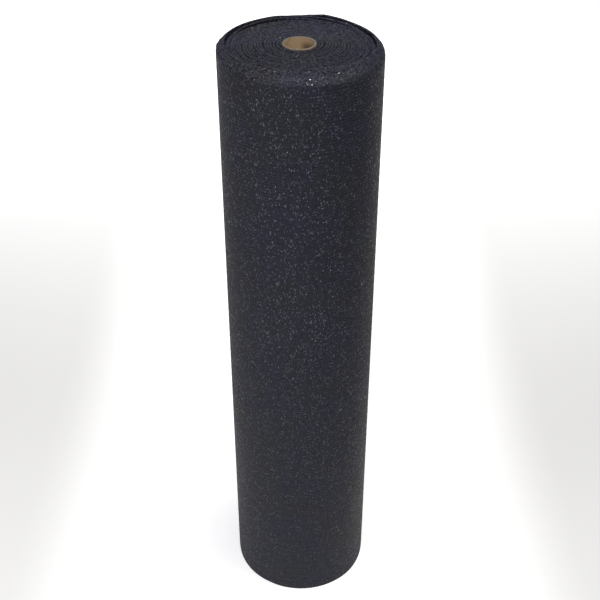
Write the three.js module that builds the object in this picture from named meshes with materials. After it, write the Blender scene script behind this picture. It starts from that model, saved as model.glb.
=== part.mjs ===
// Roll of knitted shade cloth standing on end. The cloth is folded once along its length, folds up, and wound
// on a thin cardboard core. Millimetres, +Z up, origin on the core's axis at the base, -Y towards the viewer.
import * as THREE from "three";

// Driving sizes. The outer turns lean inwards over the last of their height, so that the inner edge of the
// last one lies at lipRadius on the side towards the viewer.
const ROLL = { height: 915, radius: 105.8, turns: 19, lipRadius: 91.5 };
const CORE = { outerRadius: 21.5, wall: 2.5, belowCrest: 0.7, edge: 0.4, segments: 64 };
const CLEARANCE = 0.3;
const SEAM = 100; // degrees from +X, where the loose end of the cloth lies at the back
const COLUMNS = 72;
const LOOSE_END = 1.2; // degrees of the outline that the step at the loose end takes

const bore = CORE.outerRadius + CLEARANCE;
const turnInWall = (ROLL.radius - bore) / (ROLL.turns + 0.5);
const turnOnTop = (ROLL.lipRadius - bore) / (ROLL.turns - 0.5);

// The folded edges dish from the core down to the lip that the outer wraps make.
const DISH = { atCore: 1, atLip: 7.4, power: 1.3, crown: 0.6 };

// The wider gaps in the top of the winding, each outside a turn counted from the core.
const GAPS = [
  { afterTurn: 2, width: 2.2, depth: 4.0 },
  { afterTurn: 3, width: 1.2, depth: 2.0 },
  { afterTurn: 6, width: 2.2, depth: 3.5 },
  { afterTurn: 9, width: 2.0, depth: 3.0 },
  { afterTurn: 11, width: 1.2, depth: 2.0 },
  { afterTurn: 13, width: 1.6, depth: 2.4 },
  { afterTurn: 15, width: 1.2, depth: 1.8 },
  { afterTurn: 17, width: 0.9, depth: 2.4 },
];

// The two outermost wraps, by azimuth in degrees from +X. The outer one stands as a lip, its crest at rise from
// the nominal height, with its inner edge at radius and its shoulder bevel high. The second lies drop below it.
const WRAPS = [
  { azimuth: 20, rise: -1.2, radius: 96, bevel: 12, drop: 5.2 },
  { azimuth: 45, rise: -1.1, radius: 95.6, bevel: 11, drop: 2.3 },
  { azimuth: 68, rise: 0.5, radius: 95.8, bevel: 10, drop: 3.3 },
  { azimuth: 90, rise: -2.2, radius: 95.8, bevel: 10, drop: 1 },
  { azimuth: 115, rise: -0.8, radius: 94.2, bevel: 10, drop: 2.6 },
  { azimuth: 140, rise: -0.8, radius: 94.4, bevel: 9, drop: 2.8 },
  { azimuth: 165, rise: -1.2, radius: 95, bevel: 8, drop: 4.4 },
  { azimuth: 180, rise: -0.6, radius: 92.2, bevel: 4.4, drop: 6.1 },
  { azimuth: 200, rise: 0, radius: 91, bevel: 5.5, drop: 7.6 },
  { azimuth: 215, rise: 0, radius: 90.6, bevel: 10, drop: 7 },
  { azimuth: 240, rise: 0, radius: 91, bevel: 15, drop: 3 },
  { azimuth: 270, rise: 0, radius: 91.6, bevel: 17, drop: 0.7 },
  { azimuth: 300, rise: 0, radius: 92.6, bevel: 16, drop: 1 },
  { azimuth: 318, rise: 0, radius: 94.2, bevel: 15, drop: 6.6 },
  { azimuth: 345, rise: -0.5, radius: 95.8, bevel: 13, drop: 7.1 },
];
const LIP = { edgeRadius: 1.6, gap: 0.4, shoulderSteps: 6 };
const BASE_EDGE = 1.2;
const WALL_BANDS = [600, 300]; // heights of the extra rings that keep the wall's faces short

const degrees = THREE.MathUtils.degToRad;
const { lerp, smoothstep } = THREE.MathUtils;

// The row of WRAPS at any azimuth, eased from one row to the next.
function wrapAt(azimuth) {
  const turned = ((azimuth % 360) + 360) % 360;
  const after = WRAPS.findIndex((row) => row.azimuth > turned);
  const next = WRAPS[after === -1 ? 0 : after];
  const last = WRAPS.at((after === -1 ? 0 : after) - 1);
  const span = (next.azimuth - last.azimuth + 360) % 360;
  const eased = smoothstep(((turned - last.azimuth + 360) % 360) / span, 0, 1);
  const mixed = {};
  for (const column of ["rise", "radius", "bevel", "drop"]) {
    mixed[column] = lerp(last[column], next[column], eased);
  }
  return mixed;
}

// The winding grows outwards all the way round from the seam. On the wall the loose end stops it in a step. On
// top each gap eases back, over the last part of the turn, to where it began.
const EASES_BACK = 0.82;
const wallAt = (share) => ROLL.radius + turnInWall * (share - 0.5);
const wound = (share) => Math.min(share, EASES_BACK) * (1 - smoothstep(share, EASES_BACK, 1));
const gapRadius = (gap, share) => bore + turnOnTop * (gap.afterTurn + wound(share));

// Depth of the dished winding below the nominal height at a radius.
function dish(radius) {
  const share = (radius - bore) / (ROLL.lipRadius - bore);
  return lerp(DISH.atCore, DISH.atLip, Math.max(share, 0) ** DISH.power);
}

// The folded edges from the core to the second wrap: crowned bundles with a gap after each.
function windingTop(share) {
  const points = [{ r: bore, z: ROLL.height - dish(bore) }];
  let bundleStart = bore;
  for (const gap of GAPS) {
    const centre = gapRadius(gap, share);
    const inner = centre - gap.width / 2;
    const outer = centre + gap.width / 2;
    const middle = (bundleStart + inner) / 2;
    points.push(
      { r: middle, z: ROLL.height - dish(middle) + DISH.crown },
      { r: inner, z: ROLL.height - dish(inner) },
      { r: centre, z: ROLL.height - dish(centre) - gap.depth },
      { r: outer, z: ROLL.height - dish(outer) },
    );
    bundleStart = outer;
  }
  return points;
}

// The second wrap, the lip of the outer one and its shoulder down to the wall.
function wrapTop(wrap, share) {
  const crest = ROLL.height + wrap.rise;
  const second = crest - wrap.drop;
  const lastGap = GAPS.at(-1);
  const secondInner = gapRadius(lastGap, share) + lastGap.width / 2 + LIP.gap;
  const secondOuter = wrap.radius - LIP.gap;
  const points = [
    { r: secondInner, z: second - DISH.crown },
    { r: (secondInner + secondOuter) / 2, z: second },
    { r: secondOuter, z: second - DISH.crown },
    { r: wrap.radius, z: crest - LIP.edgeRadius },
  ];
  const crestRadius = wrap.radius + LIP.edgeRadius;
  for (let step = 0; step <= LIP.shoulderSteps; step += 1) {
    const angle = (Math.PI / 2) * (1 - step / LIP.shoulderSteps);
    points.push({
      r: crestRadius + (wallAt(share) - crestRadius) * Math.cos(angle),
      z: crest - wrap.bevel * (1 - Math.sin(angle)),
    });
  }
  return points;
}

// One closed section of the wound cloth at a share of a turn past the seam.
function sectionAt(share) {
  const wall = wallAt(share);
  return [
    { r: bore, z: BASE_EDGE },
    ...windingTop(share),
    ...wrapTop(wrapAt(SEAM + 360 * share), share),
    ...WALL_BANDS.map((z) => ({ r: wall, z })),
    { r: wall, z: BASE_EDGE },
    { r: wall - BASE_EDGE, z: 0 },
    { r: bore + BASE_EDGE, z: 0 },
  ];
}

// A ring of sections joined into one closed body.
function windingGeometry() {
  const positions = [];
  const lastShare = 1 - LOOSE_END / 360;
  for (let column = 0; column < COLUMNS; column += 1) {
    const share = (lastShare * column) / (COLUMNS - 1);
    const angle = degrees(SEAM + 360 * share);
    for (const { r, z } of sectionAt(share)) {
      positions.push(r * Math.cos(angle), r * Math.sin(angle), z);
    }
  }
  const rows = positions.length / 3 / COLUMNS;
  const indices = [];
  for (let column = 0; column < COLUMNS; column += 1) {
    const here = column * rows;
    const there = ((column + 1) % COLUMNS) * rows;
    for (let row = 0; row < rows; row += 1) {
      const next = (row + 1) % rows;
      indices.push(here + row, here + next, there + next);
      indices.push(here + row, there + next, there + row);
    }
  }
  const geometry = new THREE.BufferGeometry();
  geometry.setAttribute("position", new THREE.Float32BufferAttribute(positions, 3));
  geometry.setIndex(indices);
  geometry.computeVertexNormals();
  return geometry;
}

// A plain tube with lightly broken edges, turned about the axis.
function tubeGeometry(outer, inner, top) {
  const edge = CORE.edge;
  const profile = [
    [inner + edge, 0],
    [outer - edge, 0],
    [outer, edge],
    [outer, top - edge],
    [outer - edge, top],
    [inner + edge, top],
    [inner, top - edge],
    [inner, edge],
    [inner + edge, 0],
  ].map(([r, z]) => new THREE.Vector2(r, z));
  // A lathe turns about Y, so the tube is stood up along Z.
  return new THREE.LatheGeometry(profile, CORE.segments).rotateX(Math.PI / 2);
}

function clothRoll() {
  const charcoalKnit = new THREE.MeshStandardMaterial({
    color: 0x34343c,
    roughness: 0.8,
    metalness: 0,
  });
  const mesh = new THREE.Mesh(windingGeometry(), charcoalKnit);
  mesh.name = "cloth_roll";
  return mesh;
}

function coreTube() {
  const cardboard = new THREE.MeshStandardMaterial({
    color: 0x9c835f,
    roughness: 0.9,
    metalness: 0,
  });
  const inner = CORE.outerRadius - CORE.wall;
  const mesh = new THREE.Mesh(
    tubeGeometry(CORE.outerRadius, inner, ROLL.height - CORE.belowCrest),
    cardboard,
  );
  mesh.name = "core_tube";
  return mesh;
}

const roll = new THREE.Group();
roll.name = "roll_of_shade_cloth";
roll.add(clothRoll(), coreTube());

export default roll;
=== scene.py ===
import math
from collections import namedtuple

import bpy
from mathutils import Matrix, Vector, noise


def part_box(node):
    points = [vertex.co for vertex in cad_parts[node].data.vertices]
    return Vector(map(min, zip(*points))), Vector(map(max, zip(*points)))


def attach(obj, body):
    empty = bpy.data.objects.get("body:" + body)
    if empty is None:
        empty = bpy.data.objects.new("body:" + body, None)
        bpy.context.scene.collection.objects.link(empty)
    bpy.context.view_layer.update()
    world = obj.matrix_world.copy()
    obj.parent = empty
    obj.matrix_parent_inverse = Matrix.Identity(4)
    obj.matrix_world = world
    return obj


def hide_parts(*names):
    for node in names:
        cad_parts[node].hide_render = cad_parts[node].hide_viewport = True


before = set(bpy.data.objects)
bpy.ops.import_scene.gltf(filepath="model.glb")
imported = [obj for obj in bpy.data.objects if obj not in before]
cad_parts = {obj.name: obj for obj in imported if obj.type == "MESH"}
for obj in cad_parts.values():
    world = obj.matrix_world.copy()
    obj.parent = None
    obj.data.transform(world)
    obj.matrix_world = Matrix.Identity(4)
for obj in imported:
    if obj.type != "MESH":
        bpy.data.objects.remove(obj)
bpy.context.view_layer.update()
bpy.ops.object.select_all(action="DESELECT")

# Sizes in metres. The roll stands on its end, folded edges up, and is seen from -Y.
MM = 0.001
cloth_low, cloth_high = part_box("cloth_roll")
core_low, core_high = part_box("core_tube")
CORE_RADIUS = core_high.x
CORE_WALL = 2.5 * MM
CORE_RIM = 0.35 * MM
CORE_CLEARANCE = 0.3 * MM
CORE_BELOW_CLOTH = 0.7 * MM
BORE = CORE_RADIUS + CORE_CLEARANCE
HEIGHT = core_high.z + CORE_BELOW_CLOTH
RADIUS = (cloth_high.x - cloth_low.x) / 2

# The winding. A turn is counted from the seam at the back, and the last one ends there.
TURNS = 19
SEAM = math.radians(100)
LIP_RADIUS = 91.5 * MM
TURN_IN_WALL = (RADIUS - BORE) / (TURNS + 0.5)
LEAF = 1.7 * MM
FOLD_WIDEST = 6 * MM
FINE_GAP = 0.06 * MM
OVERLAP = 0.006  # of a turn, past the seam

# How far the crest of a fold rises, as a share of half its width: inside and at the rim, with a highest rise.
FOLD_ROUND = 0.14
RIM_ROUND = 0.85
FOLD_RISE = 1.3 * MM

# The folded cloth leans in over this height at the core and at the wall, and thins by this share halfway up.
LEAN_AT_CORE = 10 * MM
LEAN_AT_WALL = 24 * MM
PINCH = 0.18
BACK_REACH = 0.45  # how far the curve below the fold keeps the fold's own direction

# The knit: wales run round the roll, every third one heavier, and courses cross them a little askew.
WALE = 4.16 * MM
COURSE = 2.28 * MM
SKEW = math.tan(math.radians(3.2))
ROWS_A_WALE = 3
HEAVY_EVERY = 3
RIB = 0.22 * MM
HEAVY_RIB = 1.5
CHAIN_FLAT = 0.45 * MM
CHAIN_EDGE = 0.95 * MM
CHAIN_RISE = 0.14 * MM
LOOP_RISE = 0.34 * MM
HEAVY_RISE = 0.4
TAPE_FLAT = 0.22  # of a wale, to either side of a tape's middle
TAPE_EDGE = 0.32
UPPER_TAPE = 0.26 * MM
LOWER_TAPE = 0.12 * MM
TAPE_LEAN = 1.2 * MM

# The knit's colours with the painted shade of its holes, how its light and dark tapes are spread with painted
# glints, and the grain of the folds on top.
CHARCOAL = (0.0135, 0.0140, 0.0186, 1)
BLUE_CHARCOAL = (0.0126, 0.0130, 0.0228, 1)
# Painted shade: the holes between the tapes are coloured darker than the tapes.
PAINTED_HOLE_SHADE = (0.006, 0.006, 0.008, 1)
PLAIN_LIGHT = 0.82
# Painted glints: a few tapes and loops are made brighter in the base colour, fewer of them low down on the
# roll.
PAINTED_GLINT_GAIN = 1.9
PAINTED_GLINT_RARITY = 5.0
GLINTS_LOW_DOWN = 0.35  # as a share of those from GLINTS_FULL up
GLINTS_FULL = 0.7
GRAIN = 2.8 * MM
GRAIN_FROM = 16 * MM  # below the roll's height
GRAIN_FULL = 9 * MM
DARKEST_GRAIN = -0.75
LIGHTEST_GRAIN = 1.5
SPARKLE_FROM = 0.9
PLAIN_SHINE = 0.16
SPARKLE_SHINE = 0.74
PLAIN_ROUGHNESS = 0.53
SPARKLE_SMOOTHING = 0.33

# The board of the core, and the painted shade deep in its bore.
PLY_PITCH = 90 * MM
PLY_THICKNESS = 0.42 * MM
FIBRE_RISE = 0.12 * MM
BOARD = (0.245, 0.168, 0.094, 1)
PALE_BOARD = (0.345, 0.242, 0.146, 1)
DULL_BOARD = (0.165, 0.108, 0.056, 1)
BOARD_SEAM = (0.12, 0.075, 0.04, 1)
# The colour of the painted shade deep in the bore.
BOARD_PAINTED_SHADE = (0.075, 0.046, 0.018, 1)
CUT_BOARD = (0.10, 0.088, 0.072, 1)
PALE_CUT_BOARD = (0.16, 0.145, 0.120, 1)

# The folded edges dish from the core down to the lip.
DISH_AT_CORE = 1.0 * MM
DISH_AT_LIP = 7.4 * MM
DISH_POWER = 1.3

# Unevenness of the winding: how much, as a length or a share, over what length of cloth, and the seed of its
# noise.
Unevenness = namedtuple("Unevenness", "amount wavelength seed")
NOISE_GAIN = 1.6
LONG_WAVES = Unevenness(0.55 * MM, 70 * MM, 11.7)
SHORT_WAVES = Unevenness(0.3 * MM, 16 * MM, 5.3)
RIM_WAVES = Unevenness(0.25 * MM, 22 * MM, 5.3)
GAP_WAVES = Unevenness(0.9, 45 * MM, 3.1)
ROUND_WAVES = Unevenness(0.8, 55 * MM, 8.4)

# Where two neighbouring turns stand apart on top: the middle and half run of the opening, in turns from the
# core, and its width in millimetres.
Gap = namedtuple("Gap", "turns run width")
GAPS = (
    Gap(1.35, 0.30, 0.4),
    Gap(2.45, 0.52, 1.6),
    Gap(3.40, 0.42, 0.7),
    Gap(4.60, 0.25, 0.4),
    Gap(5.50, 0.20, 0.3),
    Gap(6.40, 0.50, 1.4),
    Gap(7.65, 0.22, 0.5),
    Gap(8.35, 0.25, 0.4),
    Gap(9.55, 0.46, 1.2),
    Gap(10.70, 0.25, 0.6),
    Gap(11.30, 0.32, 0.8),
    Gap(12.70, 0.25, 0.6),
    Gap(13.35, 0.40, 1.0),
    Gap(14.60, 0.22, 0.4),
    Gap(15.50, 0.36, 0.7),
    Gap(16.55, 0.25, 0.4),
    Gap(18.46, 0.20, 0.6),
)

# A gap presses its neighbours together: the push fades over this many turns and reaches this many.
PUSH_FADES = 2.5
PUSH_REACHES = 6

# The first turns lie round the core and step out where the cloth starts, over the last part of each turn.
STEP_FROM = 0.8
STEP_SLOPE = 0.12
STEPPED_TURNS = 4

# Round the roll from the seam: how thick a turn lies on top and how far the wall stands out. Millimetres.
Sector = namedtuple("Sector", "turns thickness swell")
SECTORS = (
    Sector(0.00, 3.98, 0.0),
    Sector(0.10, 4.02, 0.0),
    Sector(0.15, 3.92, 0.0),
    Sector(0.20, 3.82, -0.3),
    Sector(0.30, 3.62, -0.6),
    Sector(0.39, 3.48, -1.1),
    Sector(0.44, 3.45, -0.4),
    Sector(0.50, 3.44, 0.2),
    Sector(0.55, 3.46, 0.7),
    Sector(0.61, 3.58, 1.4),
    Sector(0.67, 3.74, 1.0),
    Sector(0.72, 3.82, 0.7),
    Sector(0.80, 3.88, 0.3),
    Sector(0.90, 3.95, 0.0),
    Sector(1.00, 3.98, 0.0),
)

# Height in millimetres of the folded edge of the outer turns against the roll's nominal height.
Crest = namedtuple("Crest", "turns height")
CREST = (
    Crest(15.60, -6.6),
    Crest(15.80, -6.4),
    Crest(15.97, -5.8),
    Crest(16.10, -5.8),
    Crest(16.25, -6.2),
    Crest(16.50, -1.4),
    Crest(16.75, -5.8),
    Crest(16.90, -5.6),
    Crest(16.97, -4.0),
    Crest(17.02, -2.4),
    Crest(17.12, -3.0),
    Crest(17.17, -6.2),
    Crest(17.22, -7.6),
    Crest(17.30, -7.4),
    Crest(17.39, -1.4),
    Crest(17.47, 0.3),
    Crest(17.55, -0.1),
    Crest(17.60, -5.8),
    Crest(17.70, -7.0),
    Crest(17.80, -5.8),
    Crest(17.86, -3.0),
    Crest(17.93, -2.4),
    Crest(17.98, -1.8),
    Crest(18.03, -0.8),
    Crest(18.11, -0.6),
    Crest(18.18, -0.9),
    Crest(18.215, -0.8),
    Crest(18.30, 0.0),
    Crest(18.61, 0.0),
    Crest(18.68, -0.5),
    Crest(18.78, -1.2),
    Crest(18.85, -1.1),
    Crest(18.89, 0.0),
    Crest(18.915, 0.6),
    Crest(18.945, -1.0),
    Crest(18.97, -2.4),
    Crest(19.05, -3.4),
)

# How the outer turns lean in at the rim: the radius of the folded edge's inner side, the height over which
# the cloth leans, its angle at the fold, how square the bend is and how thick the fold. Millimetres and
# degrees.
Lean = namedtuple("Lean", "turns radius bend tip corner fold")
LEAN = (
    Lean(16.90, 88.5, 24, 12, 0.5, 3.6),
    Lean(16.97, 90.2, 18, 8, 0.5, 3.0),
    Lean(17.02, 91.0, 16, 6, 0.5, 2.6),
    Lean(17.12, 91.8, 14, 6, 0.5, 2.9),
    Lean(17.16, 90.6, 13, 10, 0.5, 5.6),
    Lean(17.20, 87.6, 13, 12, 0.5, 7.2),
    Lean(17.25, 85.8, 14, 12, 0.5, 7.0),
    Lean(17.30, 84.0, 16, 16, 0.5, 6.0),
    Lean(17.39, 82.4, 20, 12, 0.5, 6.0),
    Lean(17.47, 81.4, 22, 8, 0.5, 6.0),
    Lean(17.55, 82.2, 22, 12, 0.5, 6.4),
    Lean(17.61, 85.6, 16, 20, 0.5, 7.6),
    Lean(17.68, 87.6, 13, 14, 0.5, 7.8),
    Lean(17.78, 89.6, 12, 14, 0.5, 6.8),
    Lean(17.86, 91.2, 13, 12, 0.5, 4.6),
    Lean(17.93, 92.2, 15, 14, 0.5, 3.2),
    Lean(17.98, 93.2, 15, 16, 0.5, 2.6),
    Lean(18.03, 93.8, 14, 20, 0.5, 2.5),
    Lean(18.11, 95.0, 11, 24, 0.5, 2.5),
    Lean(18.15, 96.2, 10, 28, 0.55, 2.6),
    Lean(18.175, 96.6, 9, 36, 0.6, 2.8),
    Lean(18.195, 95.0, 7, 60, 0.75, 3.4),
    Lean(18.215, 92.8, 4.4, 84, 0.95, 3.7),
    Lean(18.25, 91.2, 5.5, 80, 0.85, 3.7),
    Lean(18.295, 88.8, 10, 60, 0.4, 3.7),
    Lean(18.34, 87.6, 12, 42, 0.12, 4.4),
    Lean(18.39, 86.2, 12, 38, 0.1, 5.0),
    Lean(18.47, 85.4, 12, 36, 0.1, 5.4),
    Lean(18.555, 86.4, 12, 38, 0.12, 5.0),
    Lean(18.61, 89.6, 12.5, 46, 0.3, 4.2),
    Lean(18.66, 93.0, 13, 52, 0.5, 3.7),
    Lean(18.71, 95.6, 13, 50, 0.5, 3.7),
    Lean(18.78, 96.2, 13, 42, 0.5, 3.3),
    Lean(18.85, 95.8, 12, 36, 0.5, 3.0),
    Lean(18.93, 96.0, 11, 30, 0.5, 2.8),
    Lean(19.05, 96.9, 10, 30, 0.5, 2.6),
)
INNER_TIP = math.radians(9)
INNER_CORNER = 0.5

# Over how many turns the tables take over from the plain inner turns.
EDGE_TAKES_OVER = 0.12
SPINE_TAKES_OVER = 0.15
CREST_TAKES_OVER = 0.2
ROUND_TAKES_OVER = 0.3

# How finely the sections are cut: along the lean, over the fold and round the slot between the leaves.
LEAN_STEPS = 6
FOLD_STEPS = 8
SLOT_STEPS = 3
SLOT_FOLD_STEPS = 3

# The last wrap is cut more finely, in rows of the knit up its outer side and some way over its fold.
WRAP_LEAN_STEPS = 14
WRAP_FOLD_STEPS = 12
FOLD_IN_ROWS = 8
FOLD_PLAIN = 4
ROW = WALE / ROWS_A_WALE
RIM_HEIGHT = 27 * MM
WALL_ROWS = int((HEIGHT - RIM_HEIGHT) / ROW)
TOP_ROWS = 27
RIBS_FADE_IN = 3  # rows from the base
HANG = 9 * MM

# The longest step of the columns along the cloth, and the widest angle of one.
TURN_STEP = 4.6 * MM
TURN_ANGLE = math.radians(6)
WRAP_STEP = 5.2 * MM
WRAP_ANGLE = math.radians(3)

# The floor's glow: between which places it grows towards the back, how strong it gets, and between which it
# fades to the sides, down to which share.
Glow = namedtuple("Glow", "start full strength side edge left_over")
NEAR_GLOW = Glow(-0.8, -0.15, 0.5, 0.25, 0.5, 0.1)
FAR_GLOW = Glow(0.2, 1.8, 0.62, 1.0, 2.0, 0.1)

Lamp = namedtuple("Lamp", "name place aim size power colour")
LAMPS = (
    Lamp("overhead_light", (0.25, -0.05, 3.0), (0, 0, 0.8), 0.6, 46, (1, 0.98, 0.89)),
    Lamp("key_light", (-0.4, -2.1, 2.45), (0, 0, 0.8), 0.6, 32, (1, 0.98, 0.96)),
    Lamp("fill_light", (-0.1, -1.6, 0.2), (0, 0, 0.1), 0.8, 10, (0.80, 0.84, 1)),
    Lamp("left_light", (-1.6, -0.8, 0.45), (0, 0, 0.25), 0.7, 6, (1, 1, 1)),
)
SKY = (0.88, 0.9, 1, 1)
SKY_STRENGTH = 0.28

# The camera of the photo, fitted to the roll's outline.
CAMERA_PLACE = (0.73 * MM, -1.243, 1.423)
CAMERA_PITCH = math.radians(36.01)
CAMERA_LENS = 63.05


def ease(share):
    share = min(max(share, 0.0), 1.0)
    return share * share * (3 - 2 * share)


def mix(a, b, share):
    return a + (b - a) * share


def bump_of(share):
    """A soft hump, 1 at 0 and flat at 0 from 1 on."""
    return (1 - share * share) ** 2 if abs(share) < 1 else 0.0


def drift(along, waves):
    """A smooth random value from about minus to plus the waves' amount, the same on each run."""
    return waves.amount * NOISE_GAIN * noise.noise(Vector((along / waves.wavelength, waves.seed, 0.5)))


def length_at(turns):
    """Length of cloth wound on after some turns."""
    return math.tau * (BORE * turns + TURN_IN_WALL * (turns * turns + turns) / 2)


def row_at(table, turns):
    """The row of a table at a place along the winding, eased from one row to the next."""
    after = next((i for i, row in enumerate(table) if row.turns > turns), len(table) - 1)
    after = max(after, 1)
    low, high = table[after - 1], table[after]
    share = ease((turns - low.turns) / (high.turns - low.turns))
    return type(low)(*(mix(a, b, share) for a, b in zip(low, high)))


def opening(boundary):
    """Width of the wider gaps at a boundary between two turns."""
    if boundary <= 0:
        return 0.0
    return sum(gap.width * MM * bump_of((boundary - gap.turns) / gap.run) for gap in GAPS)


def edge_radius(boundary):
    """Radius of the boundary between two turns on top, which the table gives for the outer turns."""
    leaning = ease((boundary - LEAN[0].turns) / EDGE_TAKES_OVER)
    if leaning <= 0:
        return pressed_radius(boundary)
    return mix(pressed_radius(boundary), row_at(LEAN, boundary).radius * MM, leaning)


def hugged(turns):
    """Turns counted so that the first ones lie close round the core and step out over the cloth's start."""
    whole = math.floor(turns)
    part = turns - whole
    step = ease((part - STEP_FROM) / (1 - STEP_FROM))
    return whole + mix(mix(STEP_SLOPE * part, step, step), part, ease(turns / STEPPED_TURNS))


def pressed_radius(boundary):
    """Radius of a boundary by the thickness of the turns and the push of the gaps near it."""
    push = 0.0
    for away in range(1, PUSH_REACHES + 1):
        sides = opening(boundary - away) - opening(boundary + away)
        push += sides / 2 * math.exp(-away / PUSH_FADES)
    return BORE + row_at(SECTORS, boundary % 1).thickness * MM * hugged(boundary) + push


def fine_gap(boundary):
    """Width of the fine gap that any two neighbouring turns keep."""
    return FINE_GAP * (1 + drift(length_at(boundary), GAP_WAVES))


def fold_span(turns):
    """Inner and outer radius of the folded edge."""
    inner = edge_radius(turns) + (opening(turns) + fine_gap(turns)) / 2
    widest = FOLD_WIDEST
    if turns > LEAN[0].turns:
        widest = row_at(LEAN, turns).fold * MM
    if turns + 1 > TURNS:
        return inner, inner + widest
    outer = edge_radius(turns + 1) - (opening(turns + 1) + fine_gap(turns + 1)) / 2
    return inner, min(outer, inner + widest)


def fold_height(turns, radius):
    """Height of the folded edge's crest."""
    along = length_at(turns)
    share = max(radius - BORE, 0) / (LIP_RADIUS - BORE)
    dished = HEIGHT - mix(DISH_AT_CORE, DISH_AT_LIP, share ** DISH_POWER)
    dished += drift(along, LONG_WAVES) + drift(along, SHORT_WAVES)
    outer = ease((turns - CREST[0].turns) / CREST_TAKES_OVER)
    if outer <= 0:
        return dished
    crest = HEIGHT + row_at(CREST, turns).height * MM + drift(along, RIM_WAVES)
    return mix(dished, crest, outer)


Spine = namedtuple("Spine", "points tangents half_widths rise")


def wall_middle(turns):
    """Radius of the middle of a turn below the rim."""
    swell = row_at(SECTORS, turns % 1).swell * MM * turns / TURNS
    return BORE + TURN_IN_WALL * (hugged(turns) + 0.5) + swell


def spine(turns, steps):
    """The middle of the folded cloth, from where it starts to lean in up to its fold."""
    inner, outer = fold_span(turns)
    top_half = (outer - inner) / 2
    wall_half = (TURN_IN_WALL - FINE_GAP) / 2
    leaning = ease((turns - LEAN[0].turns) / SPINE_TAKES_OVER)
    unevenly = FOLD_ROUND * (1 + drift(length_at(turns), ROUND_WAVES))
    rounding = ease((turns - LEAN[0].turns) / ROUND_TAKES_OVER)
    rise_share = mix(unevenly, RIM_ROUND, rounding)
    rise_share = min(rise_share, FOLD_RISE / top_half)
    top = Vector(((inner + outer) / 2, fold_height(turns, (inner + outer) / 2) - top_half * rise_share))
    bend = mix(LEAN_AT_CORE, LEAN_AT_WALL, turns / TURNS)
    tip = INNER_TIP
    corner = INNER_CORNER
    if leaning > 0:
        lean = row_at(LEAN, turns)
        bend = mix(bend, lean.bend * MM, leaning)
        tip = mix(tip, math.radians(lean.tip), leaning)
        corner = mix(corner, lean.corner, leaning)
    start = Vector((wall_middle(turns), top.y - bend))
    reach = (top - start).length
    rise = start + Vector((0, 1)) * mix(reach, bend, corner) * corner
    back = top - Vector((-math.sin(tip), math.cos(tip))) * reach * BACK_REACH
    points, tangents, halves = [], [], []
    for step in range(steps + 1):
        t = step / steps
        s = 1 - t
        points.append(s**3 * start + 3 * s * s * t * rise + 3 * s * t * t * back + t**3 * top)
        along = s * s * (rise - start) + 2 * s * t * (back - rise) + t * t * (top - back)
        tangents.append(along.normalized())
        pinch = 1 - PINCH * math.sin(math.pi * t) * ease(turns / TURNS)
        halves.append(mix(wall_half, top_half, t) * pinch)
    return Spine(points, tangents, halves, rise_share)


def outward(tangent):
    return Vector((tangent.y, -tangent.x))


def fold_cap(line, steps, leaf=0.0):
    """The round of the fold, from its inner side over to its outer side."""
    out = outward(line.tangents[-1])
    half = line.half_widths[-1] - leaf
    return [
        line.points[-1] + half * (-math.cos(a) * out + line.rise * math.sin(a) * line.tangents[-1])
        for a in (math.pi * step / steps for step in range(1, steps))
    ]


def side_of(line, sign, leaf=0.0):
    """One side of the folded cloth along its spine, sign -1 for the inner side."""
    return [
        p + sign * (h - leaf) * outward(t)
        for p, t, h in zip(line.points, line.tangents, line.half_widths)
    ]


def slot_points(turns):
    """The space between the two leaves, from its outer foot over the fold and down to its inner foot."""
    line = spine(turns, SLOT_STEPS)
    outer = side_of(line, 1, LEAF)
    inner = side_of(line, -1, LEAF)
    cap = fold_cap(line, SLOT_FOLD_STEPS, LEAF)
    foot_out = Vector((outer[0].x, 0))
    foot_in = Vector((inner[0].x, 0))
    return [foot_out] + outer + cap[::-1] + inner[::-1] + [foot_in]


def plain_section(turns):
    """A closed section of one folded strip: its skin from inner foot to outer foot, and the slot inside."""
    line = spine(turns, LEAN_STEPS)
    inner = side_of(line, -1)
    outer = side_of(line, 1)
    over = fold_cap(line, FOLD_STEPS)
    skin = [Vector((inner[0].x, 0))] + inner + over + outer[::-1] + [Vector((outer[0].x, 0))]
    return skin, slot_points(turns)


def measured(points):
    """Distances along a line of points."""
    along = [0.0]
    for a, b in zip(points, points[1:]):
        along.append(along[-1] + (b - a).length)
    return along


def resampled(points, count):
    """The same line in equal steps, without its first point."""
    along = measured(points)
    made, at = [], 1
    for step in range(1, count + 1):
        want = along[-1] * step / count
        while at < len(points) - 1 and along[at] < want:
            at += 1
        share = (want - along[at - 1]) / max(along[at] - along[at - 1], 1e-9)
        made.append(points[at - 1].lerp(points[at], share))
    return made


def hanging(side):
    """The inner leaf hangs straight down from the fold for a way before it follows the outer one."""
    crest = side[-1]
    return [Vector((min(p.x, crest.x + max(crest.y - HANG - p.y, 0)), p.y)) for p in side]


def ribbed_section(turns):
    """As plain_section, for the last wrap: its outer side has rows that rise and fall with the wales."""
    line = spine(turns, WRAP_LEAN_STEPS)
    inner = hanging(side_of(line, -1))
    outer = side_of(line, 1)
    cap = fold_cap(line, WRAP_FOLD_STEPS)
    wall = [Vector((outer[0].x, ROW * row)) for row in range(WALL_ROWS + 1)]
    over = resampled([wall[-1]] + outer + cap[::-1][:FOLD_IN_ROWS], TOP_ROWS)
    rows = wall + over
    ribbed = []
    for i, point in enumerate(rows):
        before, after = rows[max(i - 1, 0)], rows[min(i + 1, len(rows) - 1)]
        normal = outward((after - before).normalized())
        heavy = HEAVY_RIB if (i // ROWS_A_WALE) % HEAVY_EVERY == 0 else 1.0
        lift = RIB * heavy if i % ROWS_A_WALE == 0 else -RIB / 2
        ribbed.append(point + normal * lift * ease(i / RIBS_FADE_IN))
    skin = [Vector((inner[0].x, 0))] + inner[::2] + cap[:FOLD_PLAIN] + ribbed[::-1]
    return skin, slot_points(turns)


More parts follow.
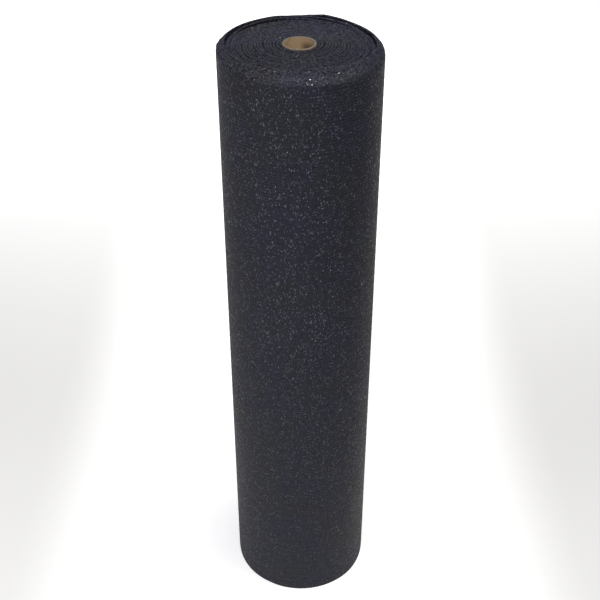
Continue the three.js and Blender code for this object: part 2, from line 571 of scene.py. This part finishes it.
def columns_between(start, end, step, widest):
    """Places along the winding, in turns, spaced by a step of cloth or by an angle, whichever is less."""
    places = [start]
    while places[-1] < end:
        radius = BORE + TURN_IN_WALL * (places[-1] + 0.5)
        places.append(places[-1] + min(step / radius, widest) / math.tau)
    scale = (end - start) / (places[-1] - start)
    return [start + (p - start) * scale for p in places]


def wound_sheet(name, start, end, step, widest, section):
    """A strip of folded cloth wound from one turn to another, with its flat place in metres as its UV map."""
    points, flat, faces = [], [], []
    places = columns_between(start, end, step, widest)
    for turns in places:
        angle = SEAM + math.tau * turns
        skin, slot = section(turns)
        across = measured(skin)
        scale = 2 * HEIGHT / across[-1]
        for point, v in zip(skin, across):
            points.append((point.x * math.cos(angle), point.x * math.sin(angle), point.y))
            flat.append((length_at(turns), 2 * HEIGHT - v * scale))
        across = measured(slot)
        scale = 2 * HEIGHT / across[-1]
        for point, v in zip(slot, across):
            points.append((point.x * math.cos(angle), point.x * math.sin(angle), point.y))
            flat.append((length_at(turns), v * scale))
    rows = len(points) // len(places)
    for column in range(len(places) - 1):
        here, there = column * rows, (column + 1) * rows
        for row in range(rows):
            after = (row + 1) % rows
            faces.append((here + row, here + after, there + after, there + row))
    last = (len(places) - 1) * rows
    faces.append(tuple(range(rows))[::-1])
    faces.append(tuple(last + row for row in range(rows)))
    mesh = bpy.data.meshes.new(name)
    mesh.from_pydata(points, [], faces)
    uv = mesh.uv_layers.new(name="flat_cloth")
    corners = [0] * len(mesh.loops)
    mesh.loops.foreach_get("vertex_index", corners)
    uv.data.foreach_set("uv", [number for corner in corners for number in flat[corner]])
    mesh.validate()
    mesh.shade_smooth()
    made = bpy.data.objects.new(name, mesh)
    bpy.context.collection.objects.link(made)
    return made


class Finish:
    """A material with short ways to add its nodes."""

    def __init__(self, name):
        self.material = bpy.data.materials.new(name)
        self.material.use_nodes = True
        self.tree = self.material.node_tree
        self.shader = self.tree.nodes["Principled BSDF"]

    def node(self, kind, inputs=None, **settings):
        made = self.tree.nodes.new(kind)
        for key, value in settings.items():
            setattr(made, key, value)
        for key, value in (inputs or {}).items():
            self.feed(made.inputs[key], value)
        return made

    def feed(self, socket, value):
        if isinstance(value, bpy.types.NodeSocket):
            self.tree.links.new(value, socket)
        else:
            socket.default_value = value

    def math(self, operation, *values):
        made = self.node("ShaderNodeMath", operation=operation)
        for socket, value in zip(made.inputs, values):
            self.feed(socket, value)
        return made.outputs[0]

    def smooth(self, value, low, high, to_low=0.0, to_high=1.0):
        made = self.node("ShaderNodeMapRange", interpolation_type="SMOOTHSTEP")
        keys = ("Value", "From Min", "From Max", "To Min", "To Max")
        for key, item in zip(keys, (value, low, high, to_low, to_high)):
            self.feed(made.inputs[key], item)
        return made.outputs["Result"]

    def blend(self, share, a, b):
        made = self.node("ShaderNodeMix", data_type="RGBA")
        self.feed(made.inputs["Factor"], share)
        self.feed(made.inputs[6], a)
        self.feed(made.inputs[7], b)
        return made.outputs[2]

    def set(self, **values):
        for key, value in values.items():
            self.feed(self.shader.inputs[key.replace("_", " ")], value)


Grid = namedtuple("Grid", "stitch half_stitch wale in_wale")


def knit_grid(f):
    """Where a point lies in the knit: stitches counted along a wale, and wales counted across the cloth."""
    uv = f.node("ShaderNodeUVMap", uv_map="flat_cloth").outputs["UV"]
    split = f.node("ShaderNodeSeparateXYZ", {"Vector": uv})
    along, across = split.outputs["X"], split.outputs["Y"]
    stitch = f.math("DIVIDE", f.math("MULTIPLY_ADD", across, SKEW, along), COURSE)
    half_stitch = f.math("FLOOR", f.math("MULTIPLY", stitch, 2.0))
    wale = f.math("DIVIDE", across, WALE)
    return Grid(stitch, half_stitch, wale, f.math("FRACT", wale))


def chances(f, column, row):
    """Three random values for each cell of the knit."""
    cell = f.node("ShaderNodeCombineXYZ", {"X": column, "Y": row})
    chance = f.node("ShaderNodeTexWhiteNoise", {"Vector": cell.outputs[0]}, noise_dimensions="2D")
    return f.node("ShaderNodeSeparateColor", {"Color": chance.outputs["Color"]}).outputs


def knit_chains(f, grid):
    """The chain of loops along each wale: where it covers, its height, and a random value for each loop."""
    nearest = f.math("ROUND", grid.wale)
    off_chain = f.math("MULTIPLY", f.math("ABSOLUTE", f.math("SUBTRACT", grid.wale, nearest)), WALE)
    cover = f.smooth(off_chain, CHAIN_FLAT, CHAIN_EDGE, 1.0, 0.0)
    loops = f.math("ABSOLUTE", f.math("SINE", f.math("MULTIPLY", grid.stitch, math.pi)))
    from_heavy = f.math("PINGPONG", f.math("DIVIDE", grid.wale, HEAVY_EVERY), 0.5)
    heavy = f.smooth(from_heavy, 0.10, 0.17, 1.0, 0.0)
    height = f.math("MULTIPLY", cover, f.math("MULTIPLY_ADD", loops, LOOP_RISE, CHAIN_RISE))
    height = f.math("MULTIPLY", height, f.math("MULTIPLY_ADD", heavy, HEAVY_RISE, 1.0))
    return cover, height, chances(f, grid.half_stitch, nearest)[0]


def knit_tapes(f, grid, picks):
    """The two zigzag tapes between the chains, each leaning by chance: where they cover, and their height."""
    swing = f.math("PINGPONG", grid.stitch, 1.0)
    upper = f.math("SUBTRACT", grid.in_wale, swing)
    lower = f.math("SUBTRACT", grid.in_wale, f.math("SUBTRACT", 1.0, swing))
    covers, heights = [], []
    for offset, tilt, level in ((upper, picks[0], UPPER_TAPE), (lower, picks[1], LOWER_TAPE)):
        cover = f.smooth(f.math("ABSOLUTE", offset), TAPE_FLAT, TAPE_EDGE, 1.0, 0.0)
        lean = f.math("MULTIPLY", offset, f.math("MULTIPLY_ADD", tilt, 2 * TAPE_LEAN, -TAPE_LEAN))
        heights.append(f.math("MULTIPLY", cover, f.math("ADD", lean, level)))
        covers.append(cover)
    return f.math("MAXIMUM", *covers), f.math("MAXIMUM", *heights)


def knit_tone_with_painted_glints(f, place, chain, loop_pick, tape_pick, painted_glint_and_shine_share):
    """How light each loop and tape is: a few with painted glints among many plain ones, and a rough grain on
    top.
    """
    glint = f.math("MULTIPLY", f.math("POWER", tape_pick, PAINTED_GLINT_RARITY), painted_glint_and_shine_share)
    loop_glint = f.math("POWER", loop_pick, PAINTED_GLINT_RARITY)
    light = f.node("ShaderNodeMix", data_type="FLOAT")
    f.feed(light.inputs["Factor"], chain)
    f.feed(light.inputs["A"], f.math("MULTIPLY_ADD", glint, PAINTED_GLINT_GAIN, PLAIN_LIGHT))
    f.feed(light.inputs["B"], f.math("MULTIPLY_ADD", loop_glint, PAINTED_GLINT_GAIN, PLAIN_LIGHT))
    height_up = f.node("ShaderNodeSeparateXYZ", {"Vector": place}).outputs["Z"]
    on_top = f.smooth(height_up, HEIGHT - GRAIN_FROM, HEIGHT - GRAIN_FULL)
    grain_inputs = {"Vector": place, "Scale": 1 / GRAIN, "Detail": 2.0, "Roughness": 0.7}
    grain = f.node("ShaderNodeTexNoise", grain_inputs)
    graininess = f.smooth(grain.outputs["Fac"], 0.37, 0.63, DARKEST_GRAIN, LIGHTEST_GRAIN)
    return f.math("ADD", light.outputs[0], f.math("MULTIPLY", graininess, on_top))


def shade_knit():
    """Charcoal knit of flat tapes: chains along each wale, zigzag tapes between them, small holes in painted
    shade, glints painted into the colour and shiny sparkles.
    """
    f = Finish("charcoal_knit")
    grid = knit_grid(f)
    picks = chances(f, grid.half_stitch, f.math("FLOOR", f.math("MULTIPLY", grid.wale, 2.0)))
    chain, chain_height, loop_pick = knit_chains(f, grid)
    tape, tape_height = knit_tapes(f, grid, picks)
    place = f.node("ShaderNodeTexCoord").outputs["Object"]
    cloud = f.node("ShaderNodeTexNoise", {"Vector": place, "Scale": 14.0, "Detail": 3.0, "Roughness": 0.6})
    tone = f.blend(f.smooth(cloud.outputs["Fac"], 0.38, 0.62), CHARCOAL, BLUE_CHARCOAL)
    height_up = f.node("ShaderNodeSeparateXYZ", {"Vector": place}).outputs["Z"]
    # The painted glints in the colour, and the sparkles' shine, grow weaker towards the base of the roll.
    painted_glint_and_shine_share = f.smooth(height_up, 0.0, GLINTS_FULL, GLINTS_LOW_DOWN, 1.0)
    lit = f.node("ShaderNodeVectorMath", {0: tone}, operation="SCALE")
    f.feed(lit.inputs["Scale"], knit_tone_with_painted_glints(f, place, chain, loop_pick, picks[2], painted_glint_and_shine_share))
    colour = f.blend(f.math("MAXIMUM", tape, chain), PAINTED_HOLE_SHADE, lit.outputs[0])
    height = f.math("MAXIMUM", tape_height, chain_height)
    bump = f.node("ShaderNodeBump", {"Height": height, "Distance": 1.0, "Strength": 1.0})
    sparkle = f.smooth(picks[2], SPARKLE_FROM, 1.0)
    shine = f.math("MULTIPLY_ADD", f.math("MULTIPLY", sparkle, painted_glint_and_shine_share), SPARKLE_SHINE, PLAIN_SHINE)
    rough = f.math("MULTIPLY_ADD", sparkle, -SPARKLE_SMOOTHING, PLAIN_ROUGHNESS)
    f.set(Base_Color=colour, Roughness=rough, Specular_IOR_Level=shine, Normal=bump.outputs[0])
    return f.material


def shade_board():
    """Kraft board: a spiral ply seam, pressed fibres, painted shade low in the bore on one side, greyer where
    it is cut.
    """
    f = Finish("kraft_board")
    place = f.node("ShaderNodeTexCoord").outputs["Object"]
    x, y, z = f.node("ShaderNodeSeparateXYZ", {"Vector": place}).outputs
    radius = f.math("SQRT", f.math("ADD", f.math("MULTIPLY", x, x), f.math("MULTIPLY", y, y)))
    turn = f.math("DIVIDE", f.math("ARCTAN2", y, x), math.tau)
    ply = f.math("FRACT", f.math("ADD", f.math("DIVIDE", z, PLY_PITCH), turn))
    seam = f.smooth(f.math("ABSOLUTE", f.math("SUBTRACT", ply, 0.5)), 0.004, 0.012, 1.0, 0.0)
    fibre_place = f.node("ShaderNodeMapping", {"Vector": place, "Scale": (260, 260, 900)})
    fibres = f.node("ShaderNodeTexNoise", {"Vector": fibre_place.outputs[0], "Scale": 1.0, "Detail": 4.0})
    patches = f.node("ShaderNodeTexNoise", {"Vector": place, "Scale": 45.0, "Detail": 2.0})
    # Painted shade deep in the bore: the board darkens on its +X side, growing from 4 mm to 13 mm below the
    # roll's height.
    painted_bore_shade = f.math("MULTIPLY", f.smooth(z, HEIGHT - 4 * MM, HEIGHT - 13 * MM), f.smooth(x, -1 * MM, 9 * MM))
    side = f.blend(fibres.outputs["Fac"], BOARD, PALE_BOARD)
    side = f.blend(f.math("MULTIPLY", patches.outputs["Fac"], 0.35), side, DULL_BOARD)
    side = f.blend(f.math("MULTIPLY", seam, 0.6), side, BOARD_SEAM)
    side = f.blend(f.math("MULTIPLY", painted_bore_shade, 0.95), side, BOARD_PAINTED_SHADE)
    plies = f.math("PINGPONG", f.math("DIVIDE", radius, PLY_THICKNESS), 0.5)
    normal = f.node("ShaderNodeNewGeometry").outputs["Normal"]
    facing_up = f.node("ShaderNodeSeparateXYZ", {"Vector": normal}).outputs["Z"]
    cut = f.smooth(f.math("ABSOLUTE", facing_up), 0.3, 0.8)
    colour = f.blend(cut, side, f.blend(plies, CUT_BOARD, PALE_CUT_BOARD))
    height = f.math("MULTIPLY", f.math("SUBTRACT", fibres.outputs["Fac"], seam), FIBRE_RISE)
    bump = f.node("ShaderNodeBump", {"Height": height, "Distance": 1.0, "Strength": 0.8})
    f.set(Base_Color=colour, Roughness=0.85, Normal=bump.outputs[0])
    return f.material


def shade_floor():
    """Pale sweep that glows round the roll and behind it, and fades out in front of it and to the sides."""
    f = Finish("pale_floor")
    place = f.node("ShaderNodeTexCoord").outputs["Object"]
    split = f.node("ShaderNodeSeparateXYZ", {"Vector": place})
    aside, back = f.math("ABSOLUTE", split.outputs["X"]), split.outputs["Y"]
    glows = []
    for glow in (NEAR_GLOW, FAR_GLOW):
        to_back = f.smooth(back, glow.start, glow.full, 0.0, glow.strength)
        to_sides = f.smooth(aside, glow.side, glow.edge, 1.0, glow.left_over)
        glows.append(f.math("MULTIPLY", to_back, to_sides))
    f.set(Base_Color=(0.8, 0.8, 0.8, 1), Roughness=0.8, Specular_IOR_Level=0.1)
    f.set(Emission_Color=(1, 1, 1, 1), Emission_Strength=f.math("ADD", *glows))
    return f.material


def select_faces(mesh_object, chosen):
    """Edit mode with only the chosen faces selected."""
    bpy.ops.object.mode_set(mode="EDIT")
    bpy.ops.mesh.select_mode(type="FACE")
    bpy.ops.mesh.select_all(action="DESELECT")
    bpy.ops.object.mode_set(mode="OBJECT")
    for face in mesh_object.data.polygons:
        face.select = chosen(face)
    bpy.ops.object.mode_set(mode="EDIT")


def board_core():
    """The cardboard tube: a cylinder with its ends inset, opened and bridged, and its rims broken."""
    height = core_high.z - core_low.z
    middle = (0, 0, core_low.z + height / 2)
    bpy.ops.mesh.primitive_cylinder_add(
        vertices=128, radius=CORE_RADIUS, depth=height, location=middle, end_fill_type="NGON"
    )
    made = bpy.context.object
    made.name = "board_core"
    bpy.ops.object.transform_apply(location=True, rotation=True, scale=True)
    select_faces(made, lambda face: abs(face.normal.z) > 0.9)
    bpy.ops.mesh.inset(thickness=CORE_WALL, depth=0, use_individual=True)
    bpy.ops.object.mode_set(mode="OBJECT")
    select_faces(made, lambda face: len(face.vertices) > 4)
    bpy.ops.mesh.bridge_edge_loops()
    bpy.ops.mesh.select_all(action="SELECT")
    bpy.ops.mesh.normals_make_consistent(inside=False)
    bpy.ops.object.mode_set(mode="OBJECT")
    rounded = made.modifiers.new("rims", "BEVEL")
    rounded.width = CORE_RIM
    rounded.segments = 2
    rounded.angle_limit = math.radians(50)
    bpy.ops.object.modifier_apply(modifier=rounded.name)
    bpy.ops.object.shade_smooth_by_angle(angle=math.radians(40))
    return made


def stage_floor():
    bpy.ops.mesh.primitive_plane_add(size=14, location=(0, 2, 0))
    floor = bpy.context.object
    floor.name = "floor"
    bpy.ops.object.transform_apply(location=True, rotation=True, scale=True)
    floor.data.materials.append(shade_floor())


def soft_light(lamp):
    bpy.ops.object.light_add(type="AREA", location=lamp.place)
    made = bpy.context.object
    made.name = lamp.name
    made.data.shape = "SQUARE"
    made.data.size = lamp.size
    made.data.energy = lamp.power
    made.data.color = lamp.colour
    made.rotation_euler = (Vector(lamp.aim) - Vector(lamp.place)).to_track_quat("-Z", "Y").to_euler()


def studio():
    world = bpy.data.worlds.new("studio")
    world.use_nodes = True
    world.node_tree.nodes["Background"].inputs["Color"].default_value = SKY
    world.node_tree.nodes["Background"].inputs["Strength"].default_value = SKY_STRENGTH
    bpy.context.scene.world = world
    for lamp in LAMPS:
        soft_light(lamp)
    bpy.context.scene.view_settings.view_transform = "Standard"


def photo_camera():
    bpy.ops.object.camera_add(location=CAMERA_PLACE, rotation=(math.pi / 2 - CAMERA_PITCH, 0, 0))
    camera = bpy.context.object
    camera.data.lens = CAMERA_LENS
    camera.data.clip_start = 0.05
    bpy.context.scene.camera = camera


photo_camera()
studio()
stage_floor()

knit = shade_knit()
inner_turns = wound_sheet("wound_turns", 0, TURNS - 1, TURN_STEP, TURN_ANGLE, plain_section)
last_wrap = wound_sheet("last_wrap", TURNS - 1, TURNS + OVERLAP, WRAP_STEP, WRAP_ANGLE, ribbed_section)
for cloth in (inner_turns, last_wrap):
    cloth.data.materials.append(knit)
    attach(cloth, "root")
    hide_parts("cloth_roll")

core = board_core()
core.data.materials.append(shade_board())
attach(core, "root")
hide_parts("core_tube")
